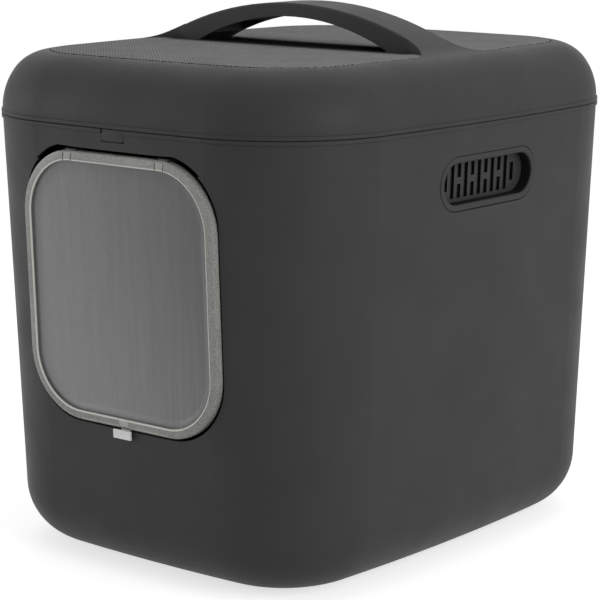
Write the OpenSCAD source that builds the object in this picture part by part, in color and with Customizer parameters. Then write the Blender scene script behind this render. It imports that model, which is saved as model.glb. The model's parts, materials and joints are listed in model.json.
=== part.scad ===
// Hooded cat litter box: a tall drafted bin, a shoulder-rounded lid with a strap handle,
// a hanging smoked flap, a lid catch, a flap lock and a vented grip in each side wall.
// Millimetres. The origin is on the floor under the middle of the bin, the front faces -Y.

/* [Body] */
// Overall width over the rim beads
body_w = 390; // [370:1:420]
// Overall depth over the rim beads
body_d = 478; // [460:1:520]
// Height of the bin from its underside to its rim
bin_h = 365.5; // [350:0.5:400]
// Radius of the upright corners, seen from above
corner_r = 105; // [100:1:112]
// Degrees that the bowed front turns through, from its middle to a corner
front_turn = 3.26; // [2.4:0.02:4]
// Degrees that a bowed side turns through, from its middle to a corner
side_turn = 4.2; // [3.4:0.02:5.4]
// Draft of the bin walls in degrees
draft = 2.3; // [1.8:0.1:2.6]
// Radius of the rounding round the underside
base_r = 50; // [40:1:56]
// Wall thickness of the bin
wall = 3; // [2.6:0.1:3.4]
// How far the rim beads stand proud
bead_t = 1; // [0.6:0.1:1.4]
// Height of each rim bead
bead_h = 3.5; // [3:0.1:4.5]

/* [Feet] */
// Gap that the feet hold under the bin
foot_gap = 2.5; // [2:0.1:4]
// Radius of a foot
foot_r = 11; // [8:0.5:14]
// Depth of the pocket that a foot sits in
foot_pocket = 1.5; // [1:0.1:2]
// Sideways place of the outer feet from the middle
foot_x = 100; // [80:1:110]
// Lengthwise place of the outer feet from the middle
foot_y = 145; // [120:1:155]

/* [Lid] */
// Height of the lid from the rim to the edge of its top
lid_h = 51; // [46:1:58]
// Width of the rounded shoulder, seen from above
shoulder_w = 41; // [38:1:44]
// Angle through which the lower, wider shoulder arc turns
shoulder_turn = 35; // [28:1:42]
// Wall thickness of the lid
lid_wall = 3; // [2.6:0.1:3.4]
// Skin thickness of the lid's top
top_wall = 4.2; // [4:0.1:5]
// Gap between the lid and the rim
lid_gap = 0.4; // [0.3:0.1:0.8]
// Depth of the lip that locates the lid in the bin
lip_h = 8; // [6:0.5:10]
// Thickness of the locating lip
lip_t = 2.2; // [1.8:0.1:2.6]
// Clearance between the locating lip and the bin
lip_gap = 0.6; // [0.5:0.1:0.8]

/* [Handle] */
// Width of the handle strap
handle_w = 44; // [38:1:48]
// Height of the handle over the edge of the lid's top
handle_rise = 36.5; // [34:0.5:40]
// Radius of the handle's upper side
handle_r = 327; // [300:1:350]
// Height of the finger gap over the edge of the lid's top
finger_rise = 25; // [23:0.5:27]
// Radius of the handle's underside
under_r = 235; // [215:1:250]
// Wall thickness of the handle's channel
handle_wall = 3; // [2.5:0.1:3.5]
// Rounding along the handle's upper edges
handle_edge = 2; // [1:0.1:2.8]
// Distance between the ribs in the handle's channel
handle_rib_pitch = 26; // [20:1:30]
// Thickness of the ribs in the handle's channel
handle_rib_t = 1.8; // [1.2:0.1:2.4]

// Radius of the hollow blend between the handle's feet and the shoulder
blend_r = 60; // [50:1:70]

/* [Top mat] */
// Thickness of the mat
mat_t = 1.5; // [1:0.1:1.8]
// Width of the seam round the mat
mat_gap = 1.2; // [0.6:0.1:1.4]
// How far the mat stands over the lid's top
mat_proud = 0.7; // [0.3:0.1:0.9]
// Corner radius of the mat behind the handle's feet
mat_rear_r = 34; // [28:1:40]
// Corner radius of the mat before the handle's feet
mat_front_r = 15; // [8:0.5:18]

/* [Lid hinge] */
// Sideways place of each hinge from the middle
hinge_x = 70; // [55:1:74]
// Radius of the hinge barrels
hinge_r = 5; // [4.5:0.1:5.5]
// Distance of the hinge pin behind the rim bead
hinge_out = 5.5; // [5.4:0.1:6.5]
// Radius of the hinge pins
hinge_pin_r = 2; // [1.5:0.1:2.4]
// Length of the lid's hinge barrel
hinge_mid_w = 16; // [12:0.5:18]
// Length of each of the bin's hinge barrels
hinge_ear_w = 8; // [6:0.5:9]
// Running clearance of every pin, on the radius
pin_fit = 0.05; // [0.03:0.01:0.1]
// Side clearance between hinge barrels
side_gap = 0.4; // [0.3:0.1:0.6]

/* [Flap] */
// Width of the flap frame
flap_w = 206; // [190:1:216]
// Height of the flap frame
flap_h = 222; // [205:1:230]
// Outer corner radius of the flap frame
flap_r = 55; // [48:1:60]
// Distance from the bin's rim down to the flap frame
flap_drop = 19.9; // [19:0.1:22]
// How far the flap stands before the wall at its middle
flap_proud = 2; // [1:0.1:2.5]
// Gap round the flap in its doorway
flap_gap = 1.5; // [1.2:0.1:2]
// Extra gap over the flap for its swing
flap_top_gap = 1.5; // [1.4:0.1:2]
// Face width of the flap frame
ring_w = 8.5; // [8.2:0.1:10]
// Depth of the flap frame
ring_t = 7; // [6.8:0.1:7.4]
// Rounding of the frame's outer edge
ring_edge = 1.8; // [1:0.1:2.2]
// Thickness of the frame's front lip
ring_lip = 3.4; // [3.1:0.1:3.6]
// Width of the seat for the panel behind the lip
panel_seat = 4.2; // [3.6:0.1:4.4]
// Thickness of the flap panel
panel_t = 2; // [1.6:0.1:2.4]
// How far the middle of the panel is raised
panel_raise = 1.6; // [1:0.1:2]
// Distance from the frame to the raised middle
panel_border = 4; // [3:0.5:8]
// Clearance round the panel in its seat
panel_fit = 0.2; // [0.1:0.05:0.3]

/* [Flap hinge] */
// Sideways place of each flap hinge from the middle
pivot_x = 50; // [44:1:58]
// Depth of the flap's pivot behind the frame's face
pivot_depth = 6.5; // [6.3:0.1:6.8]
// Drop of the pivot below the frame's top
pivot_drop = 3; // [2.8:0.1:3.4]
// Radius of the flap's hinge pins
pivot_pin_r = 1.5; // [1.2:0.1:1.7]
// Radius of the flap's knuckles
knuckle_r = 3.5; // [3.2:0.1:3.7]
// Width of the flap's knuckles
knuckle_w = 10; // [8:0.5:12]
// Thickness of the bracket's ears
bracket_ear_t = 3; // [2.4:0.1:3.4]
// Radius of the bracket's ears round the pin
bracket_ear_r = 3; // [2.6:0.1:3.2]
// Thickness of the bracket's plate
bracket_t = 2.5; // [2:0.1:3]
// Height of the bracket's plate
bracket_h = 6; // [5:0.1:6.4]
// Radius that the swinging frame needs at the head of the doorway
swing_r = 7.2; // [7:0.1:7.6]

/* [Flap lock] */
// Width of the lock's knob
lock_w = 19; // [16:1:24]
// Height of the lock's knob
lock_h = 7.2; // [6.8:0.1:8.6]
// Thickness of the lock's knob
lock_t = 2.2; // [1.8:0.1:2.6]
// Travel of the lock
lock_travel = 4.5; // [4:0.1:4.6]
// Width of the lock's tongue
tongue_w = 9.6; // [8:0.1:11]
// Thickness of the lock's tongue
tongue_t = 2.2; // [1.8:0.1:2.4]
// Sliding clearance round the lock
lock_fit = 0.4; // [0.3:0.05:0.5]
// Width of the clip behind the wall
clip_w = 18; // [14:1:22]
// Height of the clip behind the wall
clip_h = 9; // [7:0.5:12]
// Thickness of the clip behind the wall
clip_t = 2; // [1.5:0.1:2.5]

/* [Lid catch] */
// Width of the catch's tab
catch_w = 23.4; // [20:0.2:26]
// Height of the tab below the rim
catch_drop = 9.6; // [8.6:0.1:11]
// Thickness of the catch's tab
catch_t = 3.2; // [2.8:0.1:3.4]
// Gap round the tab in its notch
catch_gap = 0.5; // [0.4:0.1:0.7]
// Width of the catch's stem
stem_w = 18; // [15:0.5:18]
// Height of the catch's pin over the rim
catch_pin_z = 14; // [12:0.5:16]
// Depth of the catch's pin behind the rim bead
catch_pin_y = 13; // [12:0.5:14]
// Radius of the catch's pin
catch_pin_r = 1.5; // [1.2:0.1:1.7]
// Length of the catch's spring arm
arm_l = 12; // [11:0.5:14]
// Free height of the catch spring as fitted
spring_h = 14; // [12:0.5:15]
// Mean radius of the catch spring
spring_r = 3; // [2.4:0.1:3.2]
// Wire thickness of the catch spring
spring_wire = 0.8; // [0.6:0.1:1]
// Turns of the catch spring
spring_turns = 5; // [4:1:7]

/* [Vented grips] */
// Length of a grip's border
grip_w = 132; // [120:1:140]
// Height of a grip's border
grip_h = 44.4; // [40:0.2:48]
// Height of the grips over the underside of the bin
grip_mid = 318.5; // [310:0.5:322]
// Width of a grip's border
grip_border = 5.2; // [4.6:0.1:6]
// Thickness of a grip's border
grip_flange_t = 2.2; // [1.8:0.1:2.4]
// How far a grip's border lies below the wall's face
grip_sink = 0.5; // [0.2:0.1:0.8]
// Wall thickness of a grip's cup
cup_wall = 2; // [1.6:0.1:2.2]
// Depth of the finger recess
grip_depth = 10.5; // [9:0.5:13]
// Thickness of the grille
grille_t = 2.5; // [2:0.1:3]
// Depth of the filter pocket behind the grille
pocket_depth = 9.5; // [9:0.1:12]
// Clearance of a grip in its hole
grip_fit = 0.4; // [0.3:0.1:0.6]
// Distance between the grille's slots
slot_pitch = 9.2; // [8.8:0.1:9.6]
// Width of a grille slot
slot_w = 5; // [4:0.1:5.4]
// Height of a full grille slot
slot_h = 28; // [24:0.5:30]
// Height of the last slot at each end
end_slot_h = 15; // [12:0.5:20]
// Height of the bridge across every other slot
bridge_h = 5.4; // [4:0.1:7]
// Number of slots to each side of the middle one
slot_side_count = 5; // [4:1:5]

/* [Filters] */
// Thickness of a filter pad
filter_t = 8; // [6:0.5:9]
// Clearance round a filter pad
filter_fit = 0.3; // [0.2:0.05:0.5]
// Thickness of a filter cover
cover_t = 2.2; // [1.8:0.1:3]
// Wall thickness of the rim inside a filter cover
cover_rim_t = 1.5; // [1.2:0.1:2]

/* [Hidden] */

plastic = [0.22, 0.22, 0.225];
frame_grey = [0.58, 0.59, 0.56];
smoke = [0.45, 0.45, 0.46];
steel = [0.75, 0.76, 0.78];
charcoal = [0.09, 0.09, 0.09];
rubber = [0.12, 0.12, 0.12];
mat_grey = [0.36, 0.36, 0.36];
pale = [0.82, 0.83, 0.82];

// Small amount by which cutting bodies run past a face, and joined bodies into each other.
bite = 1;
// How far cutting bodies run on in front of a wall and behind it.
past = 10;
// How far pieces on a curved wall sink into it.
sunk = 0.6;
arc_steps = 14;
edge_steps = 5;
bow_fn = 720;
corner_fn = 120;
round_fn = 64;

half_w = body_w / 2;
half_d = body_d / 2;
base_z = foot_gap;
rim_z = base_z + bin_h;
top_z = rim_z + lid_h;
lean = tan(draft);

// The bows are tangent inside to the corners: their radii less the corner's, from both turns.
run_x = half_w - corner_r;
run_y = half_d - corner_r;
turn_det = sin(front_turn) * sin(side_turn) - (1 - cos(front_turn)) * (1 - cos(side_turn));
front_reach = (run_x * sin(side_turn) - run_y * (1 - cos(side_turn))) / turn_det;
side_reach = (run_y * sin(front_turn) - run_x * (1 - cos(front_turn))) / turn_det;
front_r = front_reach + corner_r;
side_r = side_reach + corner_r;
corner_x = front_reach * sin(front_turn);
corner_y = side_reach * sin(side_turn);

function bow(x) = front_r - sqrt(front_r * front_r - x * x);
// Offset of the bin's outer and inner faces from the bead outline, at a height.
function face_out(z) = -bead_t - (rim_z - z) * lean;
function face_in(z) = face_out(z) - wall / cos(draft);
function arc(c, r, from, to, steps = arc_steps) =
  [for (i = [0 : steps]) c + r * [cos(from + (to - from) * i / steps),
                                  sin(from + (to - from) * i / steps)]];

// Moves in a coarse, a fine and a very fine step, so that neighbouring sweeps meet exactly.
module exactly(way) {
  coarse = [for (v = way) round(v)];
  middling = [for (v = way) round((v - round(v)) * 1000) / 1000];
  translate(coarse) translate(middling) translate(way - coarse - middling) children();
}

// Sweeps a profile (offset from the bead outline, height) round the bowed outline.
module round_body() {
  for (turn = [0, 180]) rotate([0, 0, turn]) {
    exactly([0, half_d - front_r, 0])
      rotate_extrude(angle = 2 * front_turn, start = 90 - front_turn, $fn = bow_fn)
        exactly([front_r, 0]) children();
    exactly([half_w - side_r, 0, 0])
      rotate_extrude(angle = 2 * side_turn, start = -side_turn, $fn = bow_fn)
        exactly([side_r, 0]) children();
    for (flip = [0, 1]) mirror([flip, 0, 0]) exactly([corner_x, corner_y, 0])
      rotate_extrude(angle = 90 - front_turn - side_turn, start = side_turn, $fn = corner_fn)
        translate([corner_r, 0]) children();
  }
}

// A flat slab inside the outline, less an inset: the swept rim and the block that it leaves open.
module body_slab(inset, low, high) {
  round_body() translate([-corner_r, low]) square([corner_r - inset, high - low]);
  middle(low, high);
}

// The block inside the corner centres, run into the sweeps.
module middle(low, high) {
  into = 6;
  block([-run_x - into, -run_y - into, low], [run_x + into, run_y + into, high]);
}

// Sweeps a profile (offset from the outline, height) round a rounded rectangle.
module round_frame(w, h, r) {
  for (turn = [0, 180]) rotate([0, 0, turn]) {
    translate([w / 2 - r, h / 2 - r, 0])
      rotate_extrude(angle = 90, $fn = round_fn) translate([r, 0]) children();
    translate([r - w / 2, h / 2 - r, 0]) rotate([0, 0, 90])
      rotate_extrude(angle = 90, $fn = round_fn) translate([r, 0]) children();
    if (h > 2 * r)
      translate([w / 2, h / 2 - r, 0]) rotate([90, 0, 0]) linear_extrude(h - 2 * r) children();
    if (w > 2 * r)
      rotate([0, 0, 90]) translate([h / 2, w / 2 - r, 0])
        rotate([90, 0, 0]) linear_extrude(w - 2 * r) children();
  }
}

// A flat rounded rectangle between two heights, from quarter discs and bars.
module round_slab(w, h, r, low, high) {
  translate([0, 0, low]) linear_extrude(high - low) {
    square([w - 2 * r, h], center = true);
    for (side = [-1, 1]) translate([side * (w - r) / 2, 0])
      if (h > 2 * r) square([r, h - 2 * r], center = true);
    for (sx = [-1, 1], sy = [-1, 1]) translate([sx * (w / 2 - r), sy * (h / 2 - r)])
      intersection() {
        circle(r, $fn = round_fn);
        translate([sx > 0 ? 0 : -r, sy > 0 ? 0 : -r]) square(r);
      }
  }
}

module pin(r, length, x, y, z) {
  translate([x - length / 2, y, z]) rotate([0, 90, 0]) cylinder(r = r, h = length, $fn = round_fn);
}

// A block given by its lowest and highest corners.
module block(low, high) {
  translate(low) cube(high - low);
}

// An outline in (Y, Z), drawn out along X.
module along_x(from, to) {
  translate([from, 0, 0]) rotate([90, 0, 90]) linear_extrude(to - from) children();
}

// --- Places ---------------------------------------------------------------

flap_z = rim_z - flap_drop - flap_h / 2;
flap_y = -half_d - face_out(flap_z) - flap_proud / cos(draft);
module at_flap() {
  translate([0, flap_y, flap_z]) rotate([90 + draft, 0, 0]) children();
}

grip_z = base_z + grip_mid;
module at_grip(side) {
  mirror([side < 0 ? 1 : 0, 0, 0])
    translate([half_w + face_out(grip_z), 0, grip_z]) rotate([90, 0, 90])
      rotate([draft, 0, 0]) children();
}

// --- Bin ------------------------------------------------------------------

bottom_c = [face_out(base_z + base_r) - base_r / cos(draft), base_z + base_r];
module bin_profile() {
  polygon(concat(
    [[-corner_r, base_z]],
    arc(bottom_c, base_r, -90, -draft),
    [[face_out(rim_z - bead_h), rim_z - bead_h],
     [0, rim_z - bead_h + bead_t / 2],
     [0, rim_z - bead_t / 2],
     [-bead_t / 2, rim_z],
     [face_in(rim_z), rim_z]],
    arc(bottom_c, base_r - wall, -draft, -90),
    [[-corner_r, base_z + wall]]
  ));
}

hinge_y = half_d + hinge_out;
hinge_z = rim_z - 1;
hinge_root_y = half_d - bead_t - bow(hinge_x) - wall + 2 * sunk;
hinge_root_h = 18;
hinge_span = hinge_mid_w + 2 * side_gap + 2 * hinge_ear_w;

module bin_hinge_ear() {
  translate([hinge_y, hinge_z]) circle(hinge_r, $fn = round_fn);
  polygon([[hinge_y + hinge_r * cos(45), hinge_z - hinge_r * sin(45)],
           [hinge_root_y, hinge_z - hinge_root_h],
           [hinge_root_y, hinge_z], [hinge_y, hinge_z]]);
}

module bin_hinge(x) {
  ear_from = hinge_mid_w / 2 + side_gap;
  along_x(x - ear_from - hinge_ear_w, x - ear_from) bin_hinge_ear();
  along_x(x + ear_from, x + ear_from + hinge_ear_w) bin_hinge_ear();
}

doorway_w = flap_w + 2 * flap_gap;
doorway_h = flap_h + 2 * flap_gap + flap_top_gap;
doorway_r = flap_r - 2;
pad_over = 1.6;
pad_t = 2;
pad_side = 3;
pad_low = flap_h / 2 + flap_gap + flap_top_gap + pad_over;
pad_v = -flap_proud - wall - pad_t;
pad_half_w = knuckle_w / 2 + side_gap + bracket_ear_t + pad_side;
collar_out = 7;
collar_t = 2.4;
collar_depth = 7;
pivot_u = flap_h / 2 - pivot_drop;

swing_margin = 1.6;
module doorway() {
  translate([0, flap_top_gap / 2, 0]) {
    round_slab(doorway_w, doorway_h, doorway_r, -collar_depth - 2 * past, past);
    // Room for the top of the frame as it swings out.
    intersection() {
      round_slab(doorway_w + 2 * swing_margin, doorway_h + 2 * swing_margin, doorway_r + swing_margin,
                 -2 * past, past);
      pin(swing_r, doorway_w - 2 * bite, 0, pivot_u - flap_top_gap / 2, -pivot_depth);
    }
  }
}

// Stiffening collar on the inside, round the doorway.
module doorway_collar() {
  inner_v = -flap_proud - wall;
  bracket_reach = pivot_x + pad_half_w + bite;
  clip_reach = clip_w / 2 + bite;
  difference() {
    translate([0, flap_top_gap / 2, 0])
      round_frame(doorway_w + 2 * collar_out, doorway_h + 2 * collar_out, doorway_r + collar_out)
        translate([-collar_t, inner_v - collar_depth]) square([collar_t, collar_depth + sunk]);
    block([-bracket_reach, 0, inner_v - 2 * collar_depth], [bracket_reach, flap_h, 0]);
    block([-clip_reach, -flap_h, inner_v - 2 * collar_depth], [clip_reach, 0, 0]);
  }
}

// All that lies inside the middle of the bin's wall, round the doorway.
module wall_core() {
  low = flap_z - flap_h / 2 - 2 * past;
  high = rim_z - bead_h;
  round_body() polygon([[-3 * past, low], [face_out(low) - wall / 2, low],
                        [face_out(high) - wall / 2, high], [-3 * past, high]]);
}

module lock_notch() {
  half = tongue_w / 2 + lock_fit;
  block([-half, neck_low - lock_fit, -flap_proud - wall - bite], [half, -flap_h / 2, bite]);
}

cup_w = grip_w - 2 * grip_border + 2 * cup_wall;
cup_h = grip_h - 2 * grip_border + 2 * cup_wall;
grip_seat = -grip_sink - grip_flange_t;
grip_pad_t = 3;
grip_pad_rim = 4;

module grip_pad() {
  round_slab(grip_w + 2 * grip_pad_rim, grip_h + 2 * grip_pad_rim, grip_h / 2 + grip_pad_rim,
             grip_seat - grip_pad_t, -wall / 2 - bite);
}

module grip_hole() {
  round_slab(grip_w + 2 * grip_fit, grip_h + 2 * grip_fit, grip_h / 2 + grip_fit, grip_seat, past);
  round_slab(cup_w + 2 * grip_fit, cup_h + 2 * grip_fit, cup_h / 2 + grip_fit,
             grip_seat - grip_pad_t - past, 0);
}

catch_half = catch_w / 2 + catch_gap;
ledge_w = 5;
ledge_t = 2;
ledge_z = rim_z - 4.5;
ledge_side = 0.2;
ledge_reach = 1.2;
wing_clear = 0.6;
catch_slope = 32;
// The notch's floor slopes down inwards, as the pressed tab does.
module catch_notch() {
  low = rim_z - catch_drop - catch_gap;
  back_y = -half_d - face_in(rim_z - catch_drop) + bite;
  along_x(-catch_half, catch_half)
    polygon([[-half_d - bite, rim_z + bite],
             [-half_d - bite, low + (tab_front + half_d + bite) * tan(catch_slope)],
             [back_y, low - (back_y - tab_front) * tan(catch_slope)],
             [back_y, rim_z + bite]]);
}

// Ledges beside the notch, over the catch's wings.
module catch_ledges() {
  y = -half_d - face_in(rim_z);
  for (side = [-1, 1]) translate([side * (catch_half + ledge_w / 2 + ledge_side), 0, 0])
    block([-ledge_w / 2, y - wall / 2, ledge_z], [ledge_w / 2, y + ledge_reach, ledge_z + ledge_t]);
}

// Four feet near the corners, and one that holds up the middle of the floor.
module foot_place() {
  children();
  for (sx = [-1, 1], sy = [-1, 1]) translate([sx * foot_x, sy * foot_y, 0]) children();
}

module bin() {
  color(plastic) difference() {
    union() {
      round_body() bin_profile();
      middle(base_z, base_z + wall);
      for (side = [-1, 1]) bin_hinge(side * hinge_x);
      intersection() {
        at_flap() doorway_collar();
        wall_core();
      }
      at_flap() for (side = [-1, 1])
        block([side * pivot_x - pad_half_w, pad_low, pad_v],
              [side * pivot_x + pad_half_w, pad_low + bracket_h, -flap_proud - wall + 0.6]);
      for (side = [-1, 1]) at_grip(side) grip_pad();
      catch_ledges();
    }
    at_flap() doorway();
    at_flap() lock_notch();
    for (side = [-1, 1]) at_grip(side) grip_hole();
    catch_notch();
    for (side = [-1, 1])
      pin(hinge_pin_r + pin_fit, hinge_span + 2 * bite, side * hinge_x, hinge_y, hinge_z);
    foot_place() translate([0, 0, base_z - bite])
      cylinder(r = foot_r + pin_fit, h = foot_pocket + bite, $fn = round_fn);
  }
}

foot_bevel = 1;
module feet() {
  color(rubber) foot_place() {
    cylinder(r1 = foot_r - foot_bevel, r2 = foot_r, h = foot_bevel, $fn = round_fn);
    translate([0, 0, foot_bevel])
      cylinder(r = foot_r, h = base_z + foot_pocket - foot_bevel, $fn = round_fn);
  }
}

// --- Lid ------------------------------------------------------------------

skirt_z = rim_z + lid_gap;
arc_z = skirt_z + bead_h;
arc_rise = top_z - arc_z;
arc_run = shoulder_w - bead_t;
arc_step = (arc_rise - arc_run) / (sin(shoulder_turn) + cos(shoulder_turn) - 1);
high_r = arc_run - arc_step * (1 - cos(shoulder_turn));
low_r = high_r + arc_step;
low_c = [-bead_t - low_r, arc_z];
high_c = low_c + arc_step * [cos(shoulder_turn), sin(shoulder_turn)];

lip_low = rim_z - lip_h;
lip_face = face_in(rim_z) - lip_gap;
lip_face_low = face_in(lip_low) - lip_gap;
// The inner arcs of the shoulder stop short of its outer ones.
skin_turn = 80;
lip_turn = 3;
module lid_profile() {
  polygon(concat(
    [[lip_face_low, lip_low], [lip_face, rim_z], [lip_face, skirt_z], [-bead_t / 2, skirt_z],
     [0, skirt_z + bead_t / 2], [0, arc_z - bead_t / 2], [-bead_t, arc_z]],
    arc(low_c, low_r, 0, shoulder_turn),
    arc(high_c, high_r, shoulder_turn, 90),
    [[-corner_r, top_z], [-corner_r, top_z - top_wall], [-shoulder_w - bite, top_z - top_wall]],
    arc(high_c, high_r - lid_wall, skin_turn, shoulder_turn),
    arc(low_c, low_r - lid_wall, shoulder_turn, lip_turn),
    [[lip_face - lip_t, arc_z - bite], [lip_face_low - lip_t, lip_low]]
  ));
}

high_z = top_z + handle_rise - handle_r;
under_z = top_z + finger_rise - under_r;
// Half angle over which the strap is swept; its feet run down into the lid's skin.
foot_run = 10;
strap_turn = asin((half_w - shoulder_w + foot_run) / handle_r);
strap_fn = 2 * bow_fn / 3;

// Turns a profile (radius, towards the front) about the axis of the handle's upper side.
module handle_sweep() {
  translate([0, 0, high_z]) rotate([90, 0, 0]) rotate([0, 0, 90 - strap_turn])
    rotate_extrude(angle = 2 * strap_turn, $fn = strap_fn) children();
}

module strap_section(inset, deep) {
  half = handle_w / 2 - inset;
  r = handle_r - inset;
  e = max(handle_edge - inset, 0.2 * handle_edge);
  polygon(concat([[r - deep, half], [r - deep, -half]],
                 arc([r - e, e - half], e, -90, 0, edge_steps),
                 arc([r - e, half - e], e, 0, 90, edge_steps)));
}

module under_cut() {
  translate([0, handle_w, under_z]) rotate([90, 0, 0])
    cylinder(r = under_r, h = 2 * handle_w, $fn = strap_fn);
}

// The strap reaches this deep below its upper side, before all that lies in the lid is cut off.
strap_deep = handle_rise + 15.5;
channel_half = 0.23 * body_w;
strap_top = top_z + handle_rise + bite;
module handle_strap() {
  difference() {
    handle_sweep() strap_section(0, strap_deep);
    under_cut();
    block([-half_w, -handle_w, 0], [half_w, handle_w, top_z - lid_wall]);
    // The channel under the grip, open below, closed where the feet begin.
    difference() {
      handle_sweep() strap_section(handle_wall, strap_deep);
      for (side = [-1, 1])
        block([side > 0 ? channel_half : -half_w, -handle_w, 0],
              [side > 0 ? half_w : -channel_half, handle_w, strap_top]);
      for (i = [-2 : 2]) translate([i * handle_rib_pitch, 0, 0])
        block([-handle_rib_t / 2, -handle_w, 0], [handle_rib_t / 2, handle_w, strap_top]);
    }
  }
}

// The ground that the lid's skin keeps round each foot of the handle.
land_in = 96;
land_out = 8;
land_margin = 0.4;
land_edge = half_w - shoulder_w;
module handle_land(side, grow) {
  front = -handle_w / 2 - land_margin - grow;
  rear = handle_w / 2 + land_margin + grow;
  translate([0, 0, top_z - top_wall]) linear_extrude(top_wall + 2 * bite)
    mirror([side < 0 ? 1 : 0, 0, 0]) {
      translate([land_in - grow, front])
        square([land_edge + land_out - land_in + grow, rear - front]);
      corner_land(land_edge, rear, mat_rear_r - grow, 1);
      corner_land(land_edge, front, mat_front_r - grow, -1);
    }
}

// The ground between a straight edge at y and the mat's rounded corner.
module corner_land(edge, y, r, way) {
  translate([edge - r, y]) difference() {
    translate([0, way > 0 ? -bite : -r]) square([r + land_out, r + bite]);
    translate([0, way * r]) circle(r, $fn = round_fn);
    translate([-bite, way > 0 ? r : -r - bite]) square([bite, bite]);
  }
}

// The blend's arc is tangent to the strap's upper side and to the shoulder.
strap_c = [0, high_z];
shoulder_c = [half_w + high_c[0], high_c[1]];
shoulder_way = (shoulder_c - strap_c) / norm(shoulder_c - strap_c);
strap_reach = handle_r + blend_r;
shoulder_reach = high_r + blend_r;
blend_along = (strap_reach ^ 2 - shoulder_reach ^ 2 + norm(shoulder_c - strap_c) ^ 2)
              / (2 * norm(shoulder_c - strap_c));
blend_c = strap_c + blend_along * shoulder_way
          + sqrt(strap_reach ^ 2 - blend_along ^ 2) * [-shoulder_way[1], shoulder_way[0]];

// In (X, Z): what lies under the arc, between its two tangent points.
module blend_section() {
  strap_way = (blend_c - strap_c) / strap_reach;
  end_way = (blend_c - shoulder_c) / shoulder_reach;
  difference() {
    polygon([strap_c + (handle_r - past) * strap_way, strap_c + (handle_r + bite) * strap_way,
             shoulder_c + (high_r + bite) * end_way, shoulder_c + (high_r - 2 * bite) * end_way]);
    translate(blend_c) circle(blend_r, $fn = strap_fn);
  }
}

// A foot in plan: under the strap, and out to the mat's corners before and behind it.
module foot_plan() {
  half = handle_w / 2 - sunk;
  rear = handle_w / 2 - handle_edge;
  front_r = mat_front_r + land_margin + sunk;
  translate([land_edge - mat_front_r - bite, -half])
    square([mat_front_r + land_out + bite, 2 * half]);
  corner_land(land_edge + land_margin, -half, front_r, -1);
  corner_land(land_edge + handle_edge, rear, mat_rear_r + handle_edge, 1);
}

module handle_foot() {
  before = handle_w / 2 + mat_front_r + land_out;
  behind = handle_w / 2 + mat_rear_r + land_out;
  intersection() {
    union() {
      handle_sweep() translate([handle_r - strap_deep, -behind]) square([strap_deep, before + behind]);
      translate([0, behind, 0]) rotate([90, 0, 0]) linear_extrude(before + behind) blend_section();
    }
    translate([0, 0, top_z - lid_wall]) linear_extrude(handle_rise) foot_plan();
  }
}

recess_depth = mat_t - mat_proud;

lid_root_h = 12;
module lid_hinge_arm() {
  translate([hinge_y, hinge_z]) circle(hinge_r, $fn = round_fn);
  polygon([[hinge_y + hinge_r * cos(45), hinge_z + hinge_r * sin(45)],
           [hinge_root_y, skirt_z + lid_root_h], [hinge_root_y, skirt_z + sunk],
           [hinge_y - hinge_r + bite, skirt_z + sunk], [hinge_y, hinge_z]]);
}

catch_y = -half_d + catch_pin_y;
catch_z = rim_z + catch_pin_z;
ear_gap = 0.4;
catch_ear_t = 3;
catch_ear_r = 4;
// Root of the catch's ears on the lid's front skin, (depth, height) from its face and the pin.
ear_root = [[0, -7], [0.6, -2], [3.4, 8]];
ear_root_y = -half_d + bead_t + 0.6 * lid_wall;
spring_y = catch_y + arm_l;
spring_seat = 2;
spring_low = catch_z + spring_seat;
boss_rim = 0.8;
boss_r = spring_r + spring_wire / 2 + boss_rim;

// Two ears inside the lid's skirt that hold the catch's pin.
module catch_ears() {
  for (side = [-1, 1]) {
    from = side > 0 ? stem_w / 2 + ear_gap : -stem_w / 2 - ear_gap - catch_ear_t;
    along_x(from, from + catch_ear_t) {
      translate([catch_y, catch_z]) circle(catch_ear_r, $fn = round_fn);
      polygon(concat([[catch_y, catch_z + catch_ear_r], [catch_y, catch_z - catch_ear_r]],
                     [for (p = ear_root) [ear_root_y, catch_z] + p]));
    }
  }
}

// The boss over the catch's spring, with a web to the lid's front.
web_t = 1.6;
// Outline of the web, (depth, height) from the spring's axis and the underside of the shoulder.
web_points = [[0, 2], [-6, -1], [-13, -9], [-13, -12]];
module spring_boss() {
  low = spring_low + spring_h;
  high = top_z - 2 * lid_wall;
  translate([0, spring_y, low]) cylinder(r = boss_r, h = high - low - bite, $fn = round_fn);
  along_x(-web_t / 2, web_t / 2)
    polygon(concat([[spring_y, low + bite]], [for (p = web_points) [spring_y, high] + p]));
}

// Room for the catch in the lid's lip and behind its skirt.
room_side = 1.4;
room_y = -half_d + bead_t + lid_wall - 0.4;
room_low_back = 16;
room_high_back = 10;
room_over = 2;
module catch_room() {
  half = catch_half + ledge_w + room_side;
  block([-half, room_y, lip_low - bite], [half, -half_d + room_low_back, skirt_z]);
  block([-catch_half, room_y, skirt_z - bite],
        [catch_half, -half_d + room_high_back, arc_z + room_over]);
}

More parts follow.
